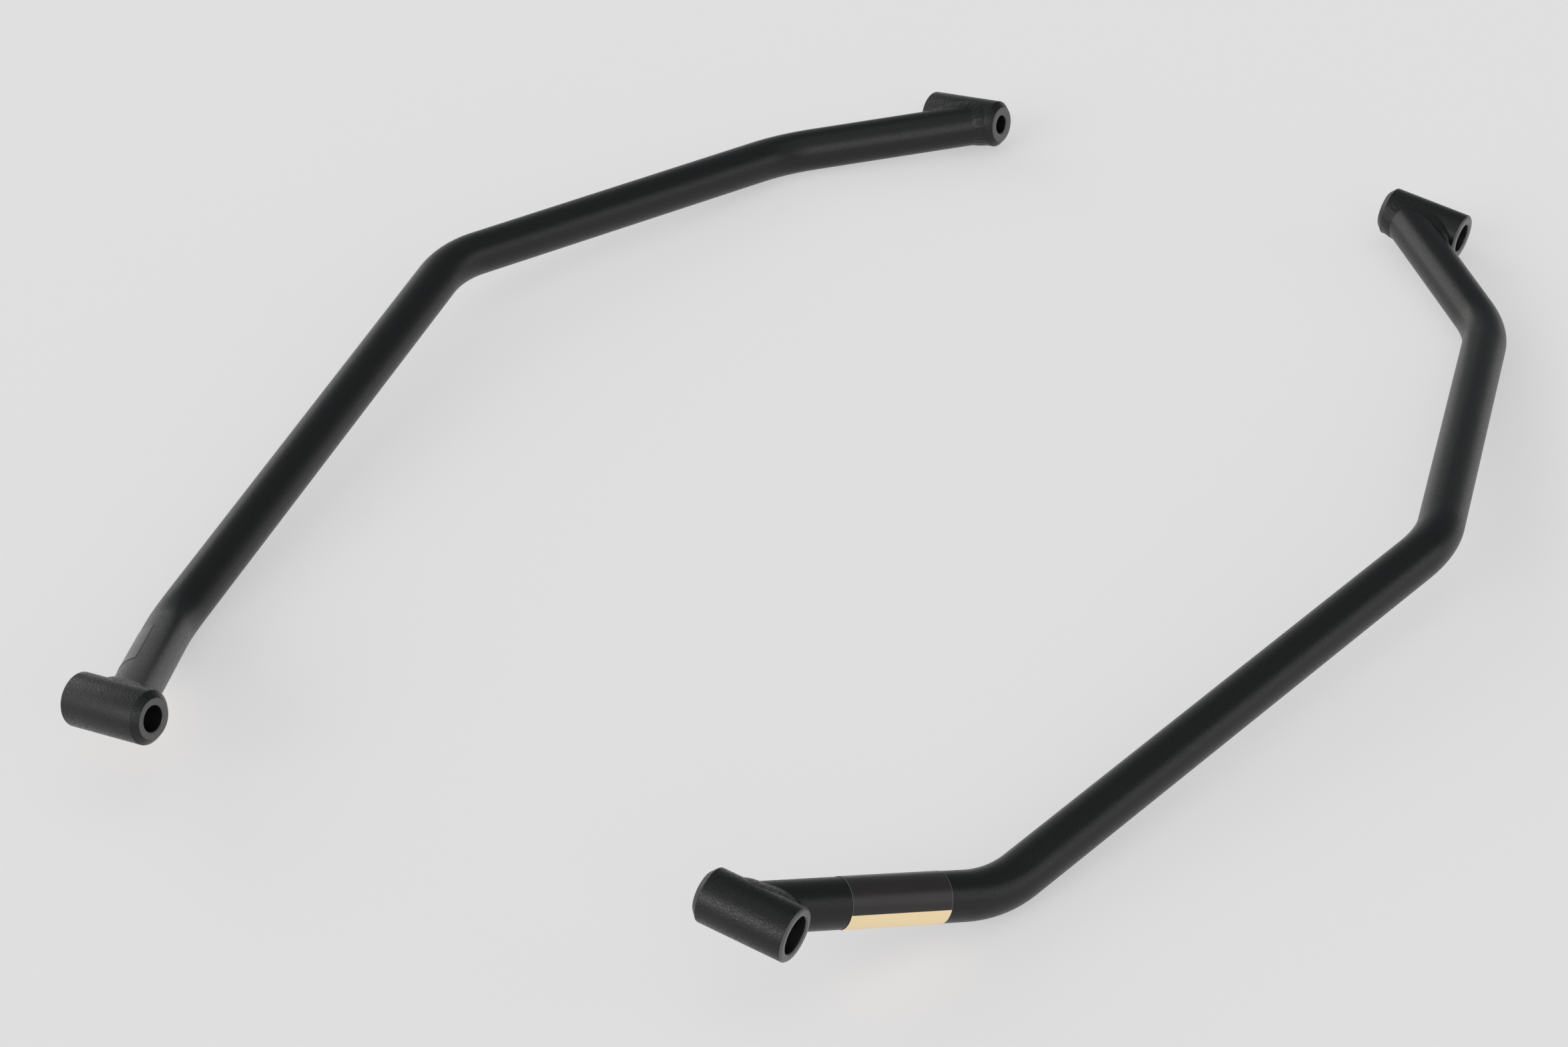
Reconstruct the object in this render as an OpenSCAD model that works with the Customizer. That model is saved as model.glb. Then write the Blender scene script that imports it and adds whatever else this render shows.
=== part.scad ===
// Pair of motorcycle crash bars in millimetres. Each bar is one round tube with three bends,
// coped and welded at both ends to a turned cross bush that a frame bolt passes through.
// The pair lies on a floor as the bars come to rest, +Z up, the left bar a mirror of the right.

/* [Tube] */
// Outside diameter of the tube
tube_d = 25; // [22:0.5:26]
// Wall thickness of the tube
tube_wall = 2; // [1.2:0.1:3.5]
// Centreline radius of the three bends
bend_r = 70; // [50:1:85]

/* [Bar shape] */
// First knee: how far it lies outboard of the lower mount
knee1_out = 77; // [65:0.5:90]
// First knee: how far along the bar it lies
knee1_along = 117; // [105:0.5:135]
// First knee: its height, below the mounts while the bar lies on the floor
knee1_up = -28.5; // [-40:0.5:-20]
// Second knee, the one that meets the ground in a fall: outboard of the lower mount
knee2_out = 147.5; // [135:0.5:165]
// Second knee: how far along the bar it lies
knee2_along = 459.5; // [430:0.5:490]
// Second knee: its height over the mounts
knee2_up = 20.5; // [5:0.5:35]
// Third knee: outboard of the lower mount
knee3_out = 77; // [60:0.5:95]
// Third knee: how far short of the upper mount it lies, along the bar
knee3_short = 87.5; // [70:0.5:110]
// Third knee: its height over the mounts
knee3_up = 1; // [-8:0.5:10]
// Upper mount: how far it lies outboard of the lower mount
upper_out = -16.5; // [-35:0.5:5]
// Upper mount: distance along the bar from the lower mount
upper_along = 785.5; // [765:0.5:810]

/* [Bushes] */
// Outside diameter of both bushes
bush_d = 28; // [27.5:0.5:34]
// Length of both bushes
bush_len = 50; // [48:1:64]
// Lower bush: how far its middle lies outboard of the tube's axis
lower_bush_out = 5.5; // [2:0.5:9]
// Upper bush: how far its middle lies outboard of the tube's axis
upper_bush_out = 14.5; // [13:0.5:17]
// Bevel round the inner end, the one that meets the frame
inner_bevel = 3.3; // [1:0.1:4]
// Bevel round the outer end
outer_bevel = 1; // [0.4:0.1:1.6]

/* [Bolt holes] */
// Lower bush: diameter of the bolt hole
lower_hole_d = 13.5; // [12.5:0.1:15]
// Lower bush: diameter of the recess for the bolt head
lower_recess_d = 19; // [18.5:0.1:21]
// Lower bush: depth of the recess
lower_recess_depth = 14; // [8:0.5:20]
// Upper bush: diameter of the bolt hole
upper_hole_d = 11; // [10.3:0.1:12]
// Upper bush: diameter of the recess for the bolt head
upper_recess_d = 16.5; // [16.2:0.1:18.5]
// Upper bush: depth of the recess
upper_recess_depth = 12; // [7:0.5:18]
// Bevel at the mouth of each bolt hole and recess
mouth_bevel = 0.7; // [0.3:0.1:1]

/* [Welds] */
// Leg of the weld bead, measured along the tube and along the bush
weld_leg = 4; // [2.5:0.1:5]
// How far the bead's face bulges past a straight line between its toes
weld_bulge = 0.45; // [0.1:0.05:0.8]
// Depth of the ripples left by each pool of the weld
weld_ripple = 0.3; // [0:0.05:0.5]
// Number of ripples round one bead
weld_ripples = 30; // [20:1:36]

/* [Labels] */
// Thickness of the label film
film_t = 0.2; // [0.1:0.05:0.4]
// Length of the label along the tube
label_len = 56; // [40:1:58]
// Width of the label, measured round the tube
label_w = 41; // [24:0.5:48]
// Right bar: where the label starts, measured along the tube from the lower mount
right_label_start = 54; // [50:0.5:58]
// Left bar: where the label starts, measured along the tube from the lower mount
left_label_start = 48; // [46:0.5:58]
// Right bar: angle of the label's upper edge over the tube's outboard side
right_label_top = 131; // [60:1:140]
// Left bar: angle of the label's upper edge over the tube's outboard side
left_label_top = 78; // [60:1:140]

/* [Pair] */
// Distance between the two lower mounts across the pair
spread = 347.5; // [320:1:420]
// How far the left bar lies ahead of the right one
left_ahead = -23.5; // [-60:0.5:60]
// How far the left bar is turned on the floor
left_turn = -2.5; // [-6:0.1:6]

/* [Hidden] */

// Gap between a coped tube end and the bush, filled by the weld on the real bar
cope_gap = 0.05;
// Gap that keeps the facets of a bead off the round surfaces it lies on
bead_gap = 0.06;
// Gap between the label film and the tube
film_gap = 0.02;
// How much larger in radius the tube is round a bend than along the straights
bend_swell = 0.15;
// How far the end of a straight lies inside the bend that it joins
bend_lap = 0.2;
// Stations along one weld ripple
ripple_steps = 4;
// Passes that settle the bar on its three points of contact
settle_passes = 12;

tube_r = tube_d / 2;
bush_r = bush_d / 2;
lower = 0;
upper = 4;
across = [1, 0, 0];

powder = "#26282a";
film_black = "#17181a";

// The bar's own frame: X along the bushes and outboard, Y along the bar, Z up. Each bar's axis
// runs from the lower mount over the three knees to the upper mount.
axis_points = [
    [0, 0, 0],
    [knee1_out, knee1_along, knee1_up],
    [knee2_out, knee2_along, knee2_up],
    [knee3_out, upper_along - knee3_short, knee3_up],
    [upper_out, upper_along, 0]
];

function unit(v) = v / norm(v);
function off_axis(v, axis) = v - (v * axis) * axis;

// Each bend is an arc that touches the two stretches that meet at its knee. Its frame has X at
// the start of the arc, Y in the direction of travel there and Z as the axis of the bend.
function to_back(i) = unit(axis_points[i - 1] - axis_points[i]);
function to_front(i) = unit(axis_points[i + 1] - axis_points[i]);
function bend_angle(i) = 180 - acos(to_back(i) * to_front(i));
function setback(i) = bend_r * tan(bend_angle(i) / 2);
function bend_centre(i) =
    axis_points[i] + unit(to_back(i) + to_front(i)) * bend_r / cos(bend_angle(i) / 2);
function bend_x(i) = unit(axis_points[i] + to_back(i) * setback(i) - bend_centre(i));
function bend_y(i) = -to_back(i);
function stretch_start(k) =
    k == lower ? axis_points[k] : axis_points[k] + to_front(k) * setback(k);
function stretch_end(k) =
    k + 1 == upper ? axis_points[k + 1] : axis_points[k + 1] + to_back(k + 1) * setback(k + 1);

// Both bushes lie along X. Their ends are measured from the tube's axis.
function bush_out(end) = end == lower ? lower_bush_out : upper_bush_out;
function bush_middle(end) = axis_points[end] + bush_out(end) * across;

// The point of a bend's centreline that lies farthest in direction d, and the direction of
// travel there.
function bend_far(i, d) = min(max(atan2(d * bend_y(i), d * bend_x(i)), 0), bend_angle(i));
function bend_at(i, t) = bend_centre(i) + bend_r * (cos(t) * bend_x(i) + sin(t) * bend_y(i));
function bend_travel(i, t) = cos(t) * bend_y(i) - sin(t) * bend_x(i);

// Points of the bar's surface that lie farthest in direction d
function bend_touch(i, d) = let (t = bend_far(i, d))
    bend_at(i, t) + (tube_r + bend_swell) * unit(off_axis(d, bend_travel(i, t)));
function bush_touch(end, side, inset, r, d) =
    bush_middle(end) + side * (bush_len / 2 - inset) * across + r * unit(off_axis(d, across));

// A bar lies on its first bend, its third bend and the outer rim of its upper bush. The upward
// direction through those three points is found again from the points that it gives.
function plane_up(a, b, c) = let (n = unit(cross(b - a, c - a))) n[2] < 0 ? -n : n;
function rest_up(up, passes) = passes == 0 ? up
    : rest_up(plane_up(
        bend_touch(1, -up),
        bend_touch(3, -up),
        bush_touch(upper, 1, outer_bevel, bush_r, -up)), passes - 1);
bar_z = rest_up([0, 0, 1], settle_passes);
bar_x = unit(off_axis(across, bar_z));
bar_y = cross(bar_z, bar_x);

// How far the bar reaches from its lower mount in direction d of the floor's frame
function to_bar(d) = d[0] * bar_x + d[1] * bar_y + d[2] * bar_z;
function bush_reach(end, d) = max(
    bush_touch(end, 1, 0, bush_r - outer_bevel, d) * d,
    bush_touch(end, 1, outer_bevel, bush_r, d) * d,
    bush_touch(end, -1, 0, bush_r - inner_bevel, d) * d,
    bush_touch(end, -1, inner_bevel, bush_r, d) * d);
function bar_reach(d) = let (b = to_bar(d)) max(
    bush_reach(lower, b), bush_reach(upper, b),
    bend_touch(1, b) * b, bend_touch(2, b) * b, bend_touch(3, b) * b);

// The same for each bar where it lies in the pair, and the middle of the pair
function turned(v, a) = [v[0] * cos(a) - v[1] * sin(a), v[0] * sin(a) + v[1] * cos(a), v[2]];
function right_reach(d) = bar_reach(d) + d[0] * spread / 2;
function left_reach(d) = let (b = turned(d, -left_turn))
    right_reach([-b[0], b[1], b[2]]) + d[1] * left_ahead;
function pair_reach(d) = max(right_reach(d), left_reach(d));
pair_mid = [
    (pair_reach([1, 0, 0]) - pair_reach([-1, 0, 0])) / 2,
    (pair_reach([0, 1, 0]) - pair_reach([0, -1, 0])) / 2,
    -pair_reach([0, 0, -1])
];

// Puts children, drawn in a frame with the given origin and axes, in their place
module put(o, x, y, z) {
    multmatrix([
        [x[0], y[0], z[0], o[0]],
        [x[1], y[1], z[1], o[1]],
        [x[2], y[2], z[2], o[2]],
        [0, 0, 0, 1]
    ]) children();
}

module on_floor_right() {
    translate(-pair_mid)
        translate([spread / 2, 0, 0])
            multmatrix([
                [bar_x[0], bar_x[1], bar_x[2], 0],
                [bar_y[0], bar_y[1], bar_y[2], 0],
                [bar_z[0], bar_z[1], bar_z[2], 0],
                [0, 0, 0, 1]
            ]) children();
}

module on_floor_left() {
    translate([0, left_ahead, 0] - pair_mid)
        rotate(left_turn)
            mirror([1, 0, 0])
                translate(pair_mid)
                    on_floor_right() children();
}

// A straight rod between two points, lengthened by the lap at both ends
module rod(a, b, d, lap = 0) {
    z = unit(b - a);
    x = unit(cross(z, [0, 0, 1]));
    put(a - z * lap, x, cross(z, x), z)
        cylinder(h = norm(b - a) + 2 * lap, d = d, $fn = 72);
}

module bend(i, d) {
    put(bend_centre(i), bend_x(i), bend_y(i), cross(bend_x(i), bend_y(i)))
        rotate_extrude(angle = bend_angle(i), $fn = 360)
            translate([bend_r, 0])
                circle(d = d, $fn = 72);
}

// The full length of the bent rod, used once for the outside and once for the bore
module bent_rod(d) {
    for (k = [lower : upper - 1]) rod(stretch_start(k), stretch_end(k), d, bend_lap);
    for (i = [1 : 3]) bend(i, d + 2 * bend_swell);
}

// Clears the space of a bush out of the tube's end, which leaves the coped mouth
module cope(end) {
    reach = bush_len + 2 * tube_d;
    rod(bush_middle(end) - reach / 2 * across, bush_middle(end) + reach / 2 * across,
        bush_d + 2 * cope_gap);
}

module bar_tube() {
    color(powder)
        difference() {
            bent_rod(tube_d);
            bent_rod(tube_d - 2 * tube_wall);
            cope(lower);
            cope(upper);
        }
}

// Half section of a bush, turned about its axis, from the inner end at 0 to the outer end
module bush_profile(hole_d, recess_d, recess_depth) {
    hole_r = hole_d / 2;
    recess_r = recess_d / 2;
    polygon([
        [hole_r + mouth_bevel, 0],
        [bush_r - inner_bevel, 0],
        [bush_r, inner_bevel],
        [bush_r, bush_len - outer_bevel],
        [bush_r - outer_bevel, bush_len],
        [recess_r + mouth_bevel, bush_len],
        [recess_r, bush_len - mouth_bevel],
        [recess_r, bush_len - recess_depth],
        [hole_r, bush_len - recess_depth],
        [hole_r, mouth_bevel]
    ]);
}

module bar_bush(end) {
    hole_d = end == lower ? lower_hole_d : upper_hole_d;
    recess_d = end == lower ? lower_recess_d : upper_recess_d;
    recess_depth = end == lower ? lower_recess_depth : upper_recess_depth;
    color(powder)
        put(bush_middle(end) - bush_len / 2 * across, [0, 1, 0], [0, 0, 1], across)
            rotate_extrude($fn = 96)
                bush_profile(hole_d, recess_d, recess_depth);
}

// The weld bead follows the curve where the tube's outside meets the bush. At angle a round the
// tube, the bead's root is the point on that curve, pushed out by the bead's gap.
function tube_dir(end) = end == lower ? to_front(lower) : to_back(upper);
function side_x(end) = unit(off_axis(across, tube_dir(end)));
function tube_normal(end, a) =
    cos(a) * side_x(end) + sin(a) * cross(tube_dir(end), side_x(end));
function rise(end, a) = let (
    n = off_axis(tube_normal(end, a), across) * (tube_r + bead_gap),
    u = off_axis(tube_dir(end), across),
    qa = u * u,
    qb = n * u,
    qc = n * n - pow(bush_r + bead_gap, 2))
    (sqrt(qb * qb - qa * qc) - qb) / qa;
function root(end, a) =
    tube_normal(end, a) * (tube_r + bead_gap) + tube_dir(end) * rise(end, a);

// Moves point p of a round surface about an axis through the mount by length s along the
// surface, starting in direction d
function along_round(p, axis, d, s) = let (
    n = unit(off_axis(p, axis)),
    w = cross(axis, n),
    r = norm(off_axis(p, axis)),
    t = s * (d * w) / r * 180 / PI)
    axis * (p * axis + s * (d * axis)) + r * (cos(t) * n + sin(t) * w);

// One section of the bead: over the bush to its toe, across the rippled face and down the tube
function weld_section(end, a, wave) = let (
    p = root(end, a),
    u = tube_dir(end),
    bush_n = unit(off_axis(p, across)),
    tube_n = tube_normal(end, a),
    over_bush = unit(off_axis(tube_n, bush_n)),
    up_tube = unit(off_axis(bush_n, tube_n)),
    bush_toe = along_round(p, across, over_bush, weld_leg),
    tube_toe = along_round(p, u, up_tube, weld_leg),
    face_n = unit(cross(bush_toe - tube_toe, cross(tube_n, bush_n))),
    out = face_n * (tube_n + bush_n) > 0 ? face_n : -face_n,
    swell = weld_bulge - weld_ripple * wave)
    [
        p,
        along_round(p, across, over_bush, weld_leg / 2),
        bush_toe,
        bush_toe * 0.7 + tube_toe * 0.3 + out * swell,
        bush_toe * 0.3 + tube_toe * 0.7 + out * swell,
        tube_toe,
        along_round(p, u, up_tube, weld_leg / 2)
    ];

module bar_weld(end) {
    stations = weld_ripples * ripple_steps;
    rings = [for (i = [0 : stations - 1])
        weld_section(end, 360 * i / stations, 0.5 - 0.5 * cos(360 * i / ripple_steps))];
    sides = len(rings[0]);
    points = [for (ring = rings) each ring];
    faces = [for (i = [0 : stations - 1], j = [0 : sides - 1])
        let (
            here = i * sides,
            next = ((i + 1) % stations) * sides,
            k = (j + 1) % sides)
        each [[here + j, next + j, next + k], [here + j, next + k, here + k]]];
    color(powder)
        translate(axis_points[end])
            polyhedron(points = points, faces = faces, convexity = 6);
}

// The label film wrapped round the tube, down from its upper edge
module bar_label(top, start) {
    u = tube_dir(lower);
    x = side_x(lower);
    span = label_w / (PI * tube_d) * 360;
    color(film_black)
        put(u * start, x, cross(u, x), u)
            rotate(-top)
                rotate_extrude(angle = span, $fn = 144)
                    translate([tube_r + film_gap, 0])
                        square([film_t, label_len]);
}

module right_tube() { on_floor_right() bar_tube(); }
module right_lower_bush() { on_floor_right() bar_bush(lower); }
module right_upper_bush() { on_floor_right() bar_bush(upper); }
module right_lower_weld() { on_floor_right() bar_weld(lower); }
module right_upper_weld() { on_floor_right() bar_weld(upper); }
module right_label() { on_floor_right() bar_label(right_label_top, right_label_start); }

module left_tube() { on_floor_left() bar_tube(); }
module left_lower_bush() { on_floor_left() bar_bush(lower); }
module left_upper_bush() { on_floor_left() bar_bush(upper); }
module left_lower_weld() { on_floor_left() bar_weld(lower); }
module left_upper_weld() { on_floor_left() bar_weld(upper); }
module left_label() { on_floor_left() bar_label(left_label_top, left_label_start); }

right_tube();
right_lower_bush();
right_upper_bush();
right_lower_weld();
right_upper_weld();
right_label();
left_tube();
left_lower_bush();
left_upper_bush();
left_lower_weld();
left_upper_weld();
left_label();
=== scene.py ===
# %% [markdown]
# # A pair of motorcycle crash bars
# The real bars are steel tube, bent three times, coped and welded at both ends to a short turned
# bush, then powder coated in satin black. This file dresses the engineering model of the pair: it
# gives each piece the smooth surface, the rounded edges and the finish that the real one shows.
# Every piece is made for the right bar first. The left bar is its mirror image, laid down on the
# floor a little further forward and turned a few degrees, with its label in a place of its own.

# %% Load the frame
import math

import bpy
from mathutils import Matrix, Quaternion, Vector


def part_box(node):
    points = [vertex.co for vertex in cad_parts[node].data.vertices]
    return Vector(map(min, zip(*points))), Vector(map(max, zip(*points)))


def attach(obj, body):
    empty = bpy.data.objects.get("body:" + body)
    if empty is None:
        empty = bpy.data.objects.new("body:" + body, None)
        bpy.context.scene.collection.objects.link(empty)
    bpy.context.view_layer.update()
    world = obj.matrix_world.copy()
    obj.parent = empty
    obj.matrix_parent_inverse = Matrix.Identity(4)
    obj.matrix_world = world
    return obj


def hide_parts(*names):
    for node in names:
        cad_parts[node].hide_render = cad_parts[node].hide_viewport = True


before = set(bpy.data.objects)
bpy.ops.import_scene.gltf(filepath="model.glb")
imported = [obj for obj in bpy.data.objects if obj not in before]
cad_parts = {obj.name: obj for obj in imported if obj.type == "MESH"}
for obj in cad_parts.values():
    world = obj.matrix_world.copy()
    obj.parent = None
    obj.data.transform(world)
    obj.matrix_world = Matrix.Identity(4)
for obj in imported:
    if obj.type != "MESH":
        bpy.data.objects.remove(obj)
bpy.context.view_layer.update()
scene = bpy.context.scene
mm = 0.001

# %% [markdown]
# ## The camera
# The photograph was taken with a long lens from above, on the side of the lower mounts. A camera's
# turn can be given by three angles, but a point on the floor that it looks at and a small roll
# about its own axis are easier to read and to change, so those are given here. The lens is for a
# sensor 36 mm wide.

# %% Camera
camera_place = Vector((1.0513, -1.7558, 1.3760))
camera_aim = Vector((-0.0260, -0.0310, 0.0))
camera_roll = math.radians(-1.83)

camera_data = bpy.data.cameras.new("camera")
camera_data.sensor_width = 36.0
camera_data.lens = 103.71
camera_data.clip_end = 20.0
camera = bpy.data.objects.new("camera", camera_data)
look = (camera_aim - camera_place).to_track_quat("-Z", "Y")
camera.matrix_world = (
    Matrix.Translation(camera_place)
    @ (look @ Quaternion((0, 0, 1), camera_roll)).to_matrix().to_4x4()
)
scene.collection.objects.link(camera)
scene.camera = camera
print("camera", round((camera_aim - camera_place).length, 3), "m from the point it looks at")

# %% [markdown]
# ## Sizes
# The tube's axis is a chain of straight lines through the lower mount, three knees and the upper
# mount. A list of points all along the bends would do as well, but with one point for each knee the
# bar can be measured and changed as its maker would do it. Each knee is rounded by a bend of the
# same radius, as a bending machine makes it. Both bushes have the same length and radius.

# %% Sizes of the bar
tube_radius = 12.5 * mm
tube_wall = 2 * mm
bend_radius = 70 * mm
bush_radius = 14 * mm
bush_length = 50 * mm
axis_points = [
    Vector((0.163677, -0.383951, 0.055847)),
    Vector((0.235498, -0.268529, 0.011692)),
    Vector((0.309559, 0.075999, 0.033905)),
    Vector((0.235539, 0.313220, 0.011996)),
    Vector((0.142141, 0.400559, 0.018937)),
]
lower, upper = 0, len(axis_points) - 1
outboard = Vector((0.991332, 0.0, -0.131380)).normalized()
bush_middle = {
    lower: Vector((0.169129, -0.383951, 0.055124)),
    upper: Vector((0.156515, 0.400559, 0.017032)),
}
steps = [(b - a).length for a, b in zip(axis_points, axis_points[1:])]
print("from point to point of the axis", [round(step / mm) for step in steps], "mm")

# %% [markdown]
# ## Helpers for editing
# An operator works on all that is selected, so every edit has to start with nothing selected but
# what it is meant for. The same few steps come back with every piece, and are kept as helpers: they
# start and leave an edit, turn faces outwards, add a modifier and apply it, and move a piece's
# place into its mesh, so that its object sits at the origin.


# %% Start and leave an edit
def leave_edit():
    bpy.ops.object.mode_set(mode="OBJECT")


def deselect_all():
    if bpy.context.object and bpy.context.object.mode == "EDIT":
        leave_edit()
    bpy.ops.object.select_all(action="DESELECT")


def only(obj):
    deselect_all()
    obj.select_set(True)
    bpy.context.view_layer.objects.active = obj


def edit(obj, action="DESELECT", mode="VERT"):
    only(obj)
    bpy.ops.object.mode_set(mode="EDIT")
    bpy.ops.mesh.select_mode(type=mode)
    bpy.ops.mesh.select_all(action=action)


# %% Finish an edit
def settle(obj):
    only(obj)
    bpy.ops.object.transform_apply(location=True, rotation=True, scale=True)


def apply_modifier(obj, kind, **values):
    only(obj)
    bpy.ops.object.modifier_add(type=kind)
    modifier = obj.modifiers[-1]
    for name, value in values.items():
        setattr(modifier, name, value)
    bpy.ops.object.modifier_apply(modifier=modifier.name)


def face_outwards(obj, merge_within=0):
    edit(obj, "SELECT")
    if merge_within:
        bpy.ops.mesh.remove_doubles(threshold=merge_within)
    bpy.ops.mesh.normals_make_consistent(inside=False)
    leave_edit()


def triangles(obj):
    return sum(len(p.vertices) - 2 for p in obj.data.polygons)


# %% [markdown]
# ## The bent tube
# A bending machine feeds straight tube and swings it round a die, once for each knee. A curve with
# a round bevel would give such a tube too, but its handles only come close to a true arc. Spin
# works as the machine does: a ring of edges is extruded along a straight, spun about the centre of
# the bend, and extruded again. Each straight starts where the last bend ended, so the two always
# meet without a step.


# %% Bends
def bend_at(i):
    """Centre, axis and angle of the bend at knee i, and where it starts and ends."""
    back = (axis_points[i - 1] - axis_points[i]).normalized()
    front = (axis_points[i + 1] - axis_points[i]).normalized()
    angle = math.pi - back.angle(front)
    setback = bend_radius * math.tan(angle / 2)
    centre = axis_points[i] + (back + front).normalized() * (
        bend_radius / math.cos(angle / 2)
    )
    return {
        "centre": centre,
        "axis": (-back).cross(front).normalized(),
        "angle": angle,
        "start": axis_points[i] + back * setback,
        "end": axis_points[i] + front * setback,
    }


bends = [bend_at(i) for i in range(lower + 1, upper)]
print("bends in degrees", [round(math.degrees(b["angle"]), 1) for b in bends])


# %% A first ring, and a step along
def facing(direction, across=None):
    """The turn that takes a new circle's normal to direction."""
    z = direction.normalized()
    x = (across or Vector((0, 0, 1)).cross(z)).normalized()
    x = (x - x.dot(z) * z).normalized()
    return Matrix((x, z.cross(x), z)).transposed().to_euler()


def add_circle(centre, direction, radius, sides):
    deselect_all()
    bpy.ops.mesh.primitive_circle_add(
        vertices=sides, radius=radius, location=centre, rotation=facing(direction)
    )
    ring = bpy.context.object
    settle(ring)
    return ring


def extrude_by(step):
    bpy.ops.mesh.extrude_region_move(TRANSFORM_OT_translate={"value": step})


# %% Tube
tube_sides = 72
bend_steps = 20

first_way = axis_points[lower + 1] - axis_points[lower]
right_tube = add_circle(axis_points[lower], first_way, tube_radius, tube_sides)
right_tube.name = right_tube.data.name = "right_bent_tube"
edit(right_tube, "SELECT", "EDGE")
here = axis_points[lower]
for bend in bends:
    extrude_by(bend["start"] - here)
    bpy.ops.mesh.spin(
        steps=bend_steps,
        angle=-bend["angle"],
        center=bend["centre"],
        axis=bend["axis"],
    )
    here = bend["end"]
extrude_by(axis_points[upper] - here)
leave_edit()
print("tube box", [round(v, 4) for v in right_tube.dimensions], "before its ends are cut")

# %% [markdown]
# ## Wall and coped ends
# The tube is hollow, and a fabricator cuts each end to the bush's round shape with a hole saw, so
# that the two fit before they are welded. That saddle-shaped edge could be worked out and drawn,
# but a boolean with a cylinder in the bush's place finds it by itself. The cylinder is a hair
# thinner than the bush, so that no gap can show behind the bead.

# %% Wall and coped ends
merge_distance = 0.002 * mm
bush_sides = 96
saw_undersize = 0.2 * mm
saw_length = 4 * bush_length

face_outwards(right_tube, merge_distance)
apply_modifier(right_tube, "SOLIDIFY", thickness=tube_wall, offset=-1, use_rim=True)

for end in (lower, upper):
    deselect_all()
    bpy.ops.mesh.primitive_cylinder_add(
        vertices=bush_sides,
        radius=bush_radius - saw_undersize,
        depth=saw_length,
        location=bush_middle[end],
        rotation=facing(outboard),
    )
    saw = bpy.context.object
    settle(saw)
    apply_modifier(right_tube, "BOOLEAN", operation="DIFFERENCE", solver="EXACT", object=saw)
    bpy.data.objects.remove(saw)
print("tube", triangles(right_tube), "triangles")

# %% [markdown]
# ## The cross bushes
# A bush is turned on a lathe from round bar. It has a bolt hole, a recess for the bolt's head at
# its outer end, and a wide bevel at its inner end. Its section could be drawn and then spun round
# the bolt's axis. Here a ring is extruded and resized from station to station instead, once round
# the whole section, because then each line of the list is one size that can be read. The last ring
# lies on the first, and the two are merged.

# %% Section of a bush
inner_bevel = 3.3 * mm
outer_bevel = 1.0 * mm
mouth_bevel = 0.7 * mm
bush_holes = {
    lower: {"hole": 6.75 * mm, "recess": 9.5 * mm, "depth": 14 * mm},
    upper: {"hole": 5.5 * mm, "recess": 8.25 * mm, "depth": 12 * mm},
}


def bush_section(hole, recess, depth):
    """Radius and distance from the inner end at each corner of the section."""
    return [
        (hole + mouth_bevel, 0),
        (bush_radius - inner_bevel, 0),
        (bush_radius, inner_bevel),
        (bush_radius, bush_length - outer_bevel),
        (bush_radius - outer_bevel, bush_length),
        (recess + mouth_bevel, bush_length),
        (recess, bush_length - mouth_bevel),
        (recess, bush_length - depth),
        (hole, bush_length - depth),
        (hole, mouth_bevel),
        (hole + mouth_bevel, 0),
    ]


print("corners of a bush's section", len(bush_section(**bush_holes[lower])) - 1)


# %% Turning
def turn_bush(end, inner_end):
    stations = bush_section(**bush_holes[end])
    radius, along = stations[0]
    bush = add_circle(inner_end, outboard, radius, bush_sides)
    edit(bush, "SELECT", "EDGE")
    for next_radius, next_along in stations[1:]:
        extrude_by(outboard * (next_along - along))
        size = next_radius / radius
        bpy.ops.transform.resize(
            value=(size, size, size),
            center_override=inner_end + outboard * next_along,
        )
        radius, along = next_radius, next_along
    face_outwards(bush, merge_distance)
    return bush


# %% [markdown]
# ### Rounded edges, and three finishes
# A powder coat never leaves a sharp edge, and the small rounds are what catches the light. They
# could be shaped edge by edge, but a bevel modifier rounds all of them at once, and its angle limit
# keeps it off the facets of the round sides. The end faces get a paler coat, which is a painted
# reflection of the bright floor, and the bores get a smooth dark one. So every face of the mesh is
# marked by where it is and which way it faces.

# %% Rounds and marks
coat_round = 0.3 * mm
round_steps = 3
sharp_from = 0.35  # radians, about 20 degrees
SIDE, FACE, BORE = 0, 1, 2
flat_only = 0.95  # how squarely a face looks along the bolt: 1 is straight on
bevels_too = 0.4


def off_line(point, through, direction):
    step = point - through
    return (step - step.dot(direction) * direction).length


def mark_bush(bush, end, inner_end):
    mouth_radius = bush_holes[end]["recess"] + mouth_bevel
    for p in bush.data.polygons:
        squareness = abs(p.normal.dot(outboard))
        in_mouth = off_line(p.center, inner_end, outboard) < mouth_radius
        at_outer_end = (p.center - inner_end).dot(outboard) > bush_length - outer_bevel
        # End faces and their bevels get the coat whose pale colour is a painted reflection.
        if squareness > (bevels_too if in_mouth or at_outer_end else flat_only):
            p.material_index = FACE
        else:
            p.material_index = BORE if in_mouth else SIDE


# %% Bushes
def make_bush(end, name):
    inner_end = bush_middle[end] - outboard * bush_length / 2
    bush = turn_bush(end, inner_end)
    bush.name = bush.data.name = name
    apply_modifier(
        bush,
        "BEVEL",
        width=coat_round,
        segments=round_steps,
        limit_method="ANGLE",
        angle_limit=sharp_from,
    )
    mark_bush(bush, end, inner_end)
    print(name, triangles(bush), "triangles")
    return bush


right_lower_bush = make_bush(lower, "right_lower_turned_bush")
right_upper_bush = make_bush(upper, "right_upper_turned_bush")

# %% [markdown]
# ## The weld beads
# A bead is a row of small overlapping pools that runs round the saddle where the round tube meets
# the round bush. It could be built anew, as a row of balls along that saddle. But the engineering
# model already has its line and its ripples, in flat facets, so a merged copy of it is the start,
# and the bead is sure to lie where the model has it.


# %% Copy of a bead
bead_merge = 0.01 * mm
join_angle = 1.2  # radians, wide enough to pair the triangles of a bent facet


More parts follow.
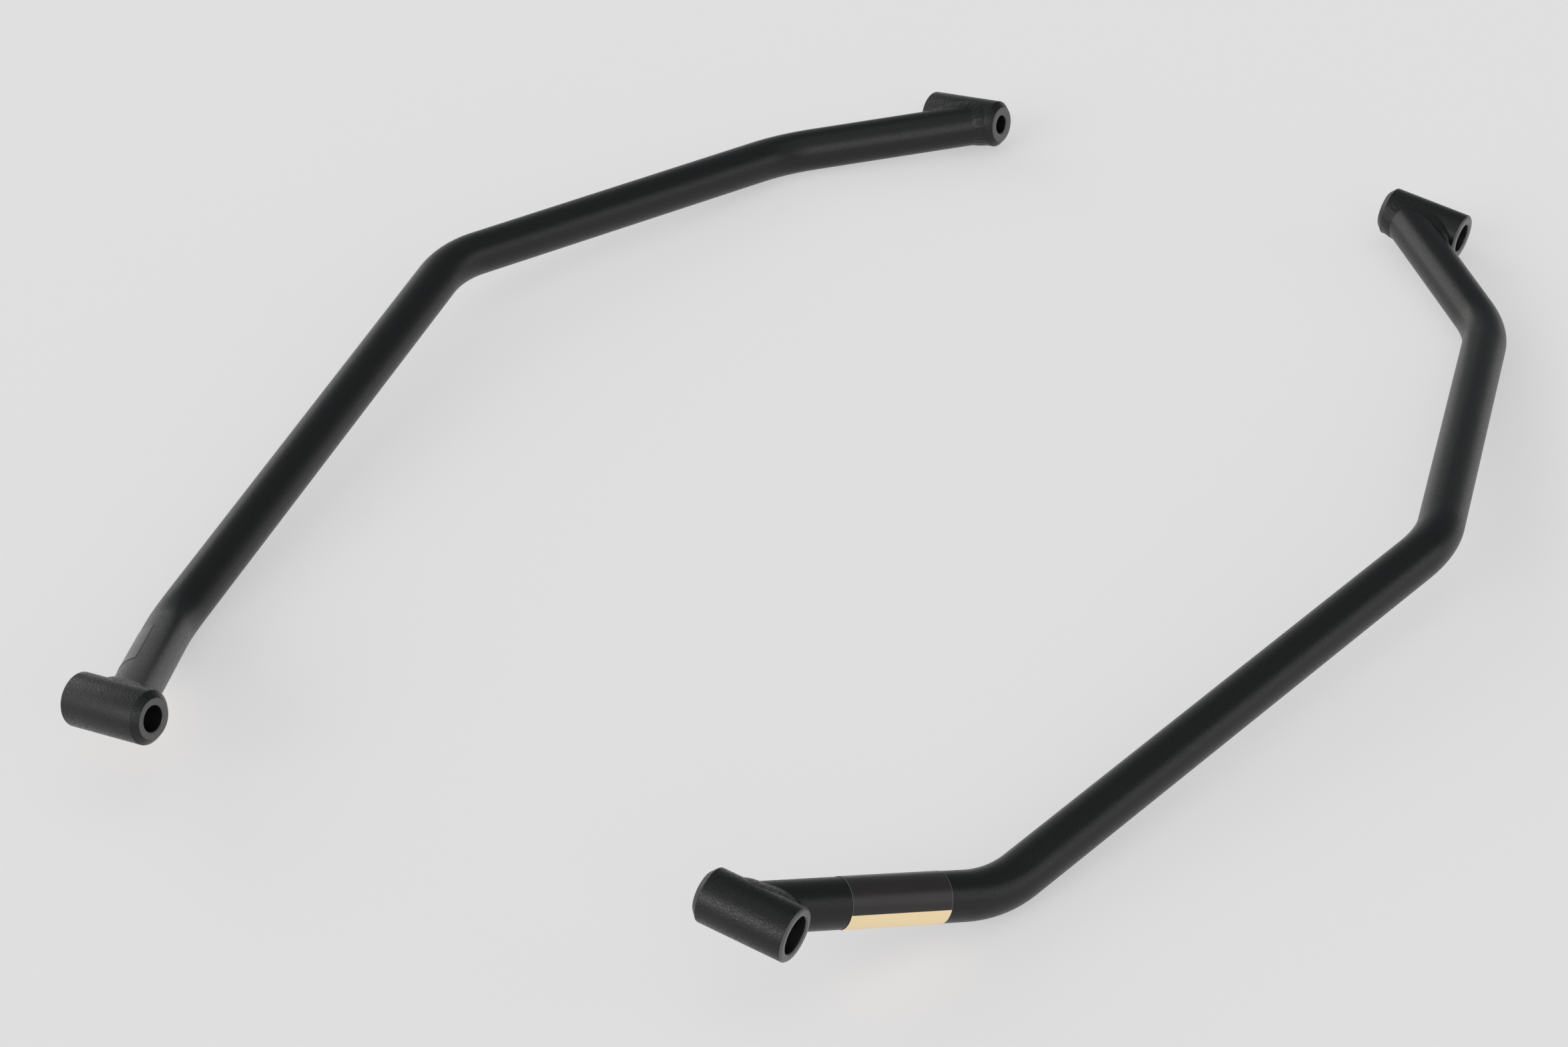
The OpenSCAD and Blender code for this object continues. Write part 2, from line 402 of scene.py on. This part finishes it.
def copy_bead(node, name):
    bead = bpy.data.objects.new(name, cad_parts[node].data.copy())
    bead.data.name = name
    bead.data.materials.clear()
    scene.collection.objects.link(bead)
    edit(bead, "SELECT")
    bpy.ops.mesh.remove_doubles(threshold=bead_merge)
    bpy.ops.mesh.tris_convert_to_quads(face_threshold=join_angle, shape_threshold=join_angle)
    leave_edit()
    return bead


# %% [markdown]
# ### Toes and pools
# The pools of a real bead flow into each other, the more so under paint, while its two toes lie
# hard on the metal. Smooth shading alone would leave the ripples angular in outline. So the toes
# get a crease, the points of the face are smoothed a little, and a subdivision surface then rounds
# the pools and stays on the toes.

# %% Face and toes of a bead
proud = 0.3 * mm  # a point of the face is at least this far off the metal


def points_of_face(bead, end):
    """For each point, whether it stands clear of both the bush and the tube."""
    inner = axis_points[1] if end == lower else axis_points[upper - 1]
    along_tube = (inner - axis_points[end]).normalized()
    return [
        off_line(v.co, axis_points[end], outboard) > bush_radius + proud
        and off_line(v.co, axis_points[end], along_tube) > tube_radius + proud
        for v in bead.data.vertices
    ]


def points_of_toes(bead, face):
    """The points next to the face, where the bead meets the metal."""
    toes = set()
    for a, b in (e.vertices for e in bead.data.edges):
        if face[a] != face[b]:
            toes.add(b if face[a] else a)
    return toes


def pick(obj, chosen, mode="VERT"):
    """Start an edit with only the chosen points or edges selected."""
    edit(obj, "DESELECT", mode)
    leave_edit()
    parts = obj.data.vertices if mode == "VERT" else obj.data.edges
    for part, choice in zip(parts, chosen):
        part.select = choice
    bpy.ops.object.mode_set(mode="EDIT")


# %% Beads
pool_smoothing = 0.4
pool_levels = 2


def make_bead(node, end, name):
    bead = copy_bead(node, name)
    face = points_of_face(bead, end)
    toes = points_of_toes(bead, face)
    pick(bead, [all(v in toes for v in e.vertices) for e in bead.data.edges], "EDGE")
    bpy.ops.transform.edge_crease(value=1)
    pick(bead, face)
    bpy.ops.mesh.vertices_smooth(factor=pool_smoothing)
    leave_edit()
    apply_modifier(bead, "SUBSURF", levels=pool_levels, render_levels=pool_levels)
    print(name, sum(face), "face points,", len(toes), "toe points,", triangles(bead), "triangles")
    return bead


right_lower_bead = make_bead("right_lower_weld", lower, "right_lower_weld_bead")
right_upper_bead = make_bead("right_upper_weld", upper, "right_upper_weld_bead")

# %% [markdown]
# ## The labels
# The label is a thin printed film wrapped round the tube: a black field, then a gold one below it.
# It could be painted into the tube's own finish, but a film has a thickness, and its edges catch
# the light, so it is a piece of its own. A straight edge is laid along the tube and spun round the
# tube's axis, first through the black field and then through the gold one. That way the border
# between the two is a true edge of the mesh.

# %% Label sizes and directions
label_length = 56 * mm
label_gap = 0.02 * mm  # between the film and the tube
black_width = 28 * mm
black_steps = 44
gold_width = 13 * mm
gold_steps = 20
degrees_per_metre = 360 / (2 * math.pi * tube_radius)
along = (axis_points[1] - axis_points[0]).normalized()
side = (outboard - outboard.dot(along) * along).normalized()
down = along.cross(side)
print("label goes", round((black_width + gold_width) * degrees_per_metre), "degrees round the tube")


# %% First edge of a label
def first_edge(start, out):
    """An edge along the tube, on the side that out points to, left open for editing."""
    middle = axis_points[0] + along * (start + label_length / 2)
    place = middle + out * (tube_radius + label_gap)
    deselect_all()
    bpy.ops.mesh.primitive_plane_add(
        size=label_length, location=place, rotation=facing(out, along)
    )
    film = bpy.context.object
    settle(film)
    tangent = along.cross(out)
    pick(film, [(v.co - place).dot(tangent) > 0 for v in film.data.vertices])
    bpy.ops.mesh.delete(type="VERT")
    bpy.ops.mesh.select_all(action="SELECT")
    bpy.ops.transform.translate(value=tangent * label_length / 2)
    return film


# %% [markdown]
# ### Light line at the ends
# At both ends of the black field the film shows a thin light line, and its cut rim looks the same.
# The line could be a pattern in the finish, but it has to follow the cut exactly, so two bisect
# cuts close to the ends give it faces of its own. Each face is then marked by its field.

# %% Wrapping and fields
clear_edge = 0.3 * mm
BLACK, GOLD, CUT = 0, 1, 2


def wrap_film(start):
    """Spin the open edge through both fields, and cut off the light lines."""
    for width, steps in ((black_width, black_steps), (gold_width, gold_steps)):
        bpy.ops.mesh.spin(
            steps=steps,
            angle=math.radians(-width * degrees_per_metre),
            center=axis_points[0],
            axis=along,
        )
    for cut in (start + clear_edge, start + label_length - clear_edge):
        bpy.ops.mesh.select_all(action="SELECT")
        bpy.ops.mesh.bisect(plane_co=axis_points[0] + along * cut, plane_no=along)
    leave_edit()


def mark_fields(film, start, top):
    border = math.radians(-top + black_width * degrees_per_metre)
    for p in film.data.polygons:
        step = p.center - axis_points[0]
        angle = math.atan2(step.dot(down), step.dot(side))
        reach = step.dot(along) - start
        if angle > border:
            p.material_index = GOLD
        elif min(reach, label_length - reach) < clear_edge:
            p.material_index = CUT
        else:
            p.material_index = BLACK


# %% [markdown]
# ### Thickness
# Such a film is about a fifth of a millimetre thick. Its upper side could be extruded by hand, but
# Solidify does that and closes the rim in one step. It grows the film away from the tube, so the
# faces have to point outwards first.

# %% Labels
film_thickness = 0.2 * mm
rim_squareness = 0.5


def make_label(name, start, top):
    """A label at start from the mount, its top edge so many degrees up from the outboard side."""
    turn = math.radians(-top)
    out = math.cos(turn) * side + math.sin(turn) * down
    film = first_edge(start, out)
    film.name = film.data.name = name
    wrap_film(start)
    mark_fields(film, start, top)
    face_outwards(film)
    if film.data.polygons[0].normal.dot(out) < 0:
        edit(film, "SELECT")
        bpy.ops.mesh.flip_normals()
        leave_edit()
    apply_modifier(
        film,
        "SOLIDIFY",
        thickness=film_thickness,
        offset=1,
        use_rim=True,
        material_offset_rim=0,
    )
    for p in film.data.polygons:
        step = p.center - axis_points[0]
        radial = (step - step.dot(along) * along).normalized()
        if abs(p.normal.dot(radial)) < rim_squareness:
            p.material_index = CUT
    print(name, triangles(film), "triangles")
    return film


right_label = make_label("right_label_film", start=54 * mm, top=131)
left_label_on_right = make_label("left_label_pattern", start=48 * mm, top=78)

# %% [markdown]
# ## The left bar
# The two real bars are mirror images. They lie side by side, the left one a little further forward
# and turned. A mirror modifier could make it, but it would tie both bars to one plane, so each
# piece is copied and laid down by one matrix. A mirrored mesh is inside out, so its faces are
# turned to point outwards again.

# %% Left bar
mirror_x = -0.010073
turn_y = -0.383951
left_forward = 0.0235
left_turn = math.radians(-2.5)
left_place = (
    Matrix.Translation((mirror_x, turn_y - left_forward, 0))
    @ Matrix.Rotation(left_turn, 4, "Z")
    @ Matrix.Diagonal((-1, 1, 1, 1))
    @ Matrix.Translation((-mirror_x, -turn_y, 0))
)


def left_copy(obj, name):
    only(obj)
    bpy.ops.object.duplicate()
    twin = bpy.context.object
    twin.name = twin.data.name = name
    twin.matrix_world = left_place
    settle(twin)
    face_outwards(twin)
    return twin


right_pieces = {
    "tube": right_tube,
    "lower_bush": right_lower_bush,
    "upper_bush": right_upper_bush,
    "lower_weld": right_lower_bead,
    "upper_weld": right_upper_bead,
    "label": right_label,
}
pieces = {"right_" + node: piece for node, piece in right_pieces.items()}
for node, piece in right_pieces.items():
    pattern = left_label_on_right if node == "label" else piece
    pieces["left_" + node] = left_copy(pattern, piece.name.replace("right", "left"))
bpy.data.objects.remove(left_label_on_right)
print(len(pieces), "pieces,", sum(triangles(piece) for piece in pieces.values()), "triangles")

# %% [markdown]
# ## Smooth surfaces
# A round surface is many narrow flat faces here. More faces would hide the steps between them, but
# make the mesh heavy. Smooth shading by angle blends the small steps and keeps the real edges.
# Dressing must not change a size, so each piece's box is measured against that of its CAD node.

# %% Smooth shading and a check of sizes
smooth_below = math.radians(35)


def largest_step(piece, node):
    low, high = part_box(node)
    corners = [Vector(c) for c in piece.bound_box]
    return max(
        max(abs(min(c[k] for c in corners) - low[k]), abs(max(c[k] for c in corners) - high[k]))
        for k in range(3)
    )


for node, piece in pieces.items():
    only(piece)
    bpy.ops.object.shade_smooth_by_angle(angle=smooth_below)
    print(node, "largest step from the CAD box", round(largest_step(piece, node) / mm, 2), "mm")

# %% [markdown]
# ## Powder coat
# Powder is sprayed on dry and melts in an oven into a thick even skin. It is satin, not glossy, and
# never quite flat: a fine pebbled grain sparkles where the light falls along it. The grain is far
# too fine to be modelled, so two noise textures of just under a millimetre make it in the material.
# One moves the roughness up and down, so that some grains glint and others don't, and the other
# drives a bump. Both read object coordinates, so the grain is the same size on every piece.


# %% Nodes of a finish
def new_material(name):
    material = bpy.data.materials.new(name)
    material.use_nodes = True
    return material, material.node_tree.nodes["Principled BSDF"]


def add_noise(tree, scale, detail, roughness=0.5):
    place = tree.nodes.new("ShaderNodeTexCoord").outputs["Object"]
    noise = tree.nodes.new("ShaderNodeTexNoise")
    noise.inputs["Scale"].default_value = scale
    noise.inputs["Detail"].default_value = detail
    noise.inputs["Roughness"].default_value = roughness
    tree.links.new(place, noise.inputs["Vector"])
    return noise.outputs["Fac"]


def vary_roughness(shader, noise, ends, roughness, spread):
    """As the noise goes from one of its ends to the other, roughness goes up by twice spread."""
    tree = shader.id_data
    node = tree.nodes.new("ShaderNodeMapRange")
    names = ("From Min", "From Max", "To Min", "To Max")
    for name, number in zip(names, (*ends, roughness - spread, roughness + spread)):
        node.inputs[name].default_value = number
    tree.links.new(noise, node.inputs["Value"])
    tree.links.new(node.outputs["Result"], shader.inputs["Roughness"])


def add_bump(shader, height, strength, depth):
    tree = shader.id_data
    bump = tree.nodes.new("ShaderNodeBump")
    bump.inputs["Strength"].default_value = strength
    bump.inputs["Distance"].default_value = depth
    tree.links.new(height, bump.inputs["Height"])
    tree.links.new(bump.outputs["Normal"], shader.inputs["Normal"])


# %% [markdown]
# ### Five coats
# The same coat looks different from part to part. It has a fine grain on the tube and a stronger
# one on the bushes and the beads. The end faces are painted paler, as a painted reflection of the
# bright floor, and the bores, where little powder reaches, are smooth. One material with masks
# could hold all of these, but separate ones are easier to read and to change.

# %% Powder coat
glint_scale = 1200  # about so many grains in a metre
glint_ends = (0.35, 0.65)  # most of the noise lies between these
wave_scale = 1100
wave_depth = 0.3 * mm
coat_black = (0.003, 0.0031, 0.0033)


def powder_coat(name, colour, roughness, peel, grain, shine=0.42):
    material, shader = new_material(name)
    tree = material.node_tree
    shader.inputs["Base Color"].default_value = (*colour, 1)
    shader.inputs["Specular IOR Level"].default_value = shine
    glints = add_noise(tree, glint_scale, detail=1)
    vary_roughness(shader, glints, glint_ends, roughness, grain)
    waves = add_noise(tree, wave_scale, detail=2, roughness=0.6)
    add_bump(shader, waves, peel, wave_depth)
    print(name, "roughness", roughness, "give or take", grain)
    return material


tube_coat = powder_coat("satin_powder_coat", coat_black, 0.36, 0.35, 0.07)
bush_coat = powder_coat("bush_powder_coat", coat_black, 0.34, 0.8, 0.14)
# Painted reflection: the end faces' pale grey stands in for the bright floor mirrored at a low
# angle.
face_painted_reflection_coat = powder_coat("thin_coat_on_end_faces", (0.075, 0.076, 0.078), 0.32, 0.2, 0.06, 0.6)
bore_coat = powder_coat("smooth_coat_in_bores", (0.006, 0.0062, 0.0065), 0.40, 0.05, 0.03)
weld_coat = powder_coat("weld_powder_coat", coat_black, 0.36, 0.7, 0.12)

# %% [markdown]
# ## Label film
# The film is smoother than the powder coat and shows no grain. Its black is a shade warmer and
# paler than the coat's, and its gold is a flat printed ink, seen as a pale warm tan. The ink could
# be made a metal, but its flakes are too fine to mirror anything, so a plain colour is truer. The
# film's surface has only a slow drift of its gloss and a faint bump.

# %% Film finishes
drift_scale = 60
drift_ends = (0.3, 0.7)
drift_spread = 0.02
ripple_scale = 500
ripple_strength = 0.08
ripple_depth = 0.05 * mm


def film_finish(name, colour, roughness, shine=0.5):
    material, shader = new_material(name)
    tree = material.node_tree
    shader.inputs["Base Color"].default_value = (*colour, 1)
    shader.inputs["Specular IOR Level"].default_value = shine
    drift = add_noise(tree, drift_scale, detail=2)
    vary_roughness(shader, drift, drift_ends, roughness, drift_spread)
    ripples = add_noise(tree, ripple_scale, detail=1)
    add_bump(shader, ripples, ripple_strength, ripple_depth)
    print(name, "roughness", roughness, "give or take", drift_spread)
    return material


black_film = film_finish("black_film", (0.024, 0.0205, 0.0195), 0.30, 0.4)
gold_film = film_finish("gold_film", (0.97, 0.77, 0.45), 0.45)
cut_film = film_finish("clear_film_edge", (0.10, 0.098, 0.095), 0.5)

# %% [markdown]
# ## Finishes on the pieces
# Each piece takes its finishes in the order of the numbers that its faces were marked with. A crash
# bar has no moving parts, so all its pieces ride on one body, the root. Each piece stands for the
# CAD node of the same shape, which is hidden. A list of twelve pieces with their finishes would do
# as well, but the end of a node's name says enough.

# %% Finishes on the pieces
for node, piece in pieces.items():
    if node.endswith("tube"):
        finishes, slot = [tube_coat], "powder_coat"
    elif node.endswith("bush"):
        finishes, slot = [bush_coat, face_painted_reflection_coat, bore_coat], "powder_coat"
    elif node.endswith("weld"):
        finishes, slot = [weld_coat], "weld_bead"
    else:
        finishes, slot = [black_film, gold_film, cut_film], "label_film"
    for finish in finishes:
        piece.data.materials.append(finish)
    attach(piece, "root")
    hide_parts(node)
    print(piece.name, "has", [finish.name for finish in finishes])

# %% [markdown]
# ## Floor
# The bars lie on something pale that is lit so evenly that next to no shadow shows. More lamps
# could make it as pale, but they would wash out the bars too. So the floor glows a little by
# itself, as the top of a lit table does.

# %% Floor
deselect_all()
bpy.ops.mesh.primitive_plane_add(size=12, location=(0, 1, 0))
floor = bpy.context.object
floor.name = "floor"
settle(floor)
floor_finish, floor_shader = new_material("pale_floor")
floor_shader.inputs["Base Color"].default_value = (0.32, 0.32, 0.32, 1)
floor_shader.inputs["Emission Color"].default_value = (1, 0.98, 0.98, 1)
floor_shader.inputs["Emission Strength"].default_value = 0.495
floor_shader.inputs["Roughness"].default_value = 0.9
floor.data.materials.append(floor_finish)
print("floor", [round(side_length) for side_length in floor.dimensions[:2]], "m")

# %% [markdown]
# ## Light
# A satin black surface has next to no colour of its own: what shows on it is what it mirrors. So
# each light here stands in the direction that a bright band on the bars mirrors, and is wide
# enough to give the band soft edges. Area lamps could do this, but a near one lights one end of a
# long bar more than the other. A sun with a wide disc lights all of it alike. The sky between the
# lights is dim and a little cool.


# %% Light
lamp_distance = 3  # only for a tidy view, because a sun lights by its direction alone


def soft_light(name, azimuth, height, width, power, colour=(1, 1, 1)):
    light = bpy.data.lights.new(name, "SUN")
    light.angle = math.radians(width)
    light.energy = power
    light.color = colour
    lamp = bpy.data.objects.new(name, light)
    around, above = math.radians(azimuth), math.radians(height)
    flat = math.cos(above)
    towards = Vector((math.cos(around) * flat, math.sin(around) * flat, math.sin(above)))
    turn = (-towards).to_track_quat("-Z", "Y").to_matrix().to_4x4()
    lamp.matrix_world = Matrix.Translation(towards * lamp_distance) @ turn
    scene.collection.objects.link(lamp)
    print("light", name, "power", power)


world = bpy.data.worlds.new("studio")
scene.world = world
world.use_nodes = True
sky = world.node_tree.nodes["Background"]
sky.inputs["Color"].default_value = (0.92, 0.975, 1, 1)
sky.inputs["Strength"].default_value = 0.24
soft_light("overhead", azimuth=-60, height=70, width=80, power=0.50)
soft_light("front_right", azimuth=-42, height=24, width=40, power=0.60)
soft_light("front", azimuth=-107, height=25, width=32, power=0.95)
soft_light("front_left", azimuth=-142, height=20, width=40, power=0.42)
soft_light("left", azimuth=172, height=18, width=50, power=0.94, colour=(1, 0.985, 0.96))
soft_light("back_left", azimuth=135, height=14, width=40, power=0.06)
soft_light("right", azimuth=20, height=10, width=44, power=0.46)
scene.view_settings.view_transform = "Standard"
scene.view_settings.look = "None"
